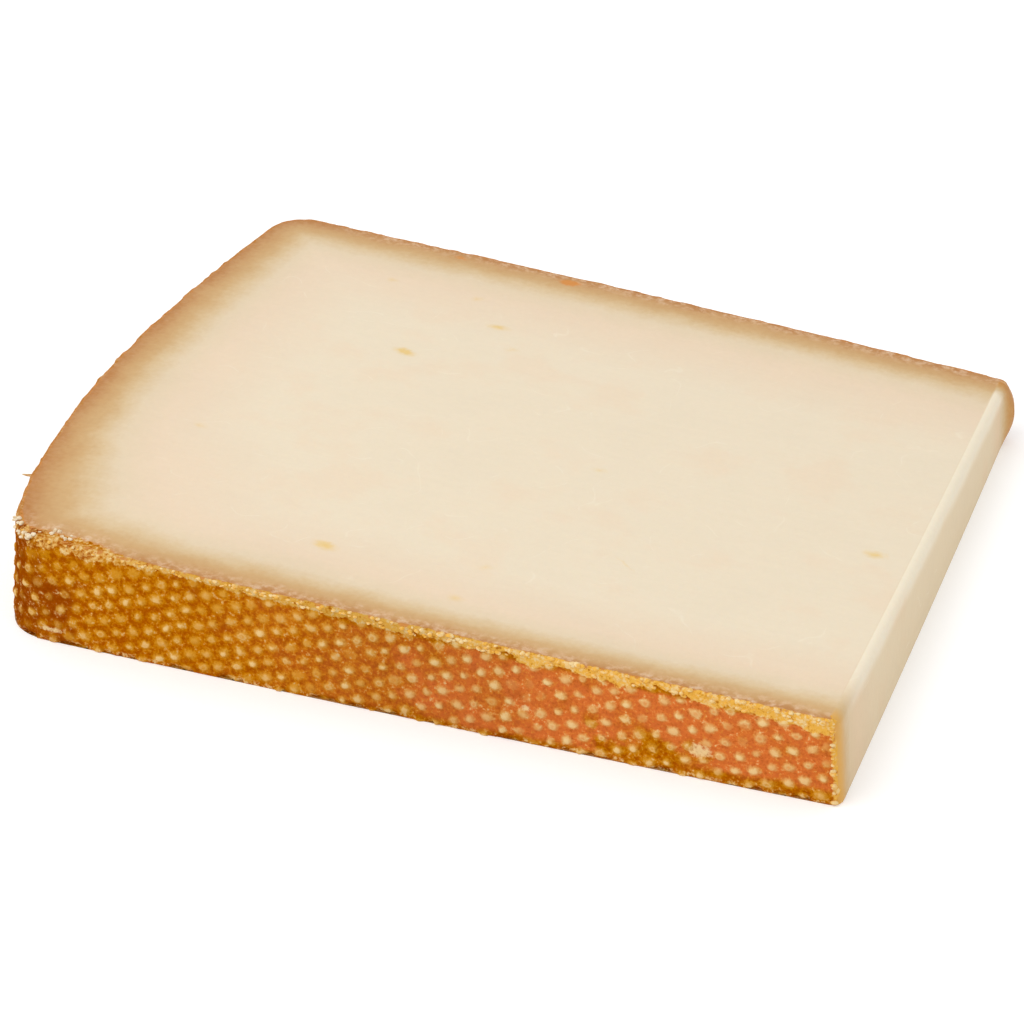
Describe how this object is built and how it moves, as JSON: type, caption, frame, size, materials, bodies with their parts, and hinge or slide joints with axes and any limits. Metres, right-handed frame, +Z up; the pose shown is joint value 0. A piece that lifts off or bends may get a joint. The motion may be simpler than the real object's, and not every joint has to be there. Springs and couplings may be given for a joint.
{
  "type": "gruyere cheese slice",
  "caption": "Flat slice of hard gruyere cheese lying on a cut face, with smooth cream cut faces, a bowed heel and brown rind with raised dots.",
  "frame": {"origin": "middle of the slice's footprint, on the surface it lies on", "axes": "+X from the heel to the cut end, +Y from the front flat rind to the back one, +Z up out of the upper cut face"},
  "size_m": [0.1405, 0.1196, 0.0183],
  "materials": {
    "cheese": "smooth cut cheese paste, with orange-brown dotted rind on three sides"
  },
  "bodies": {
    "root": {"cheese": "cheese"}
  },
  "joints": []
}
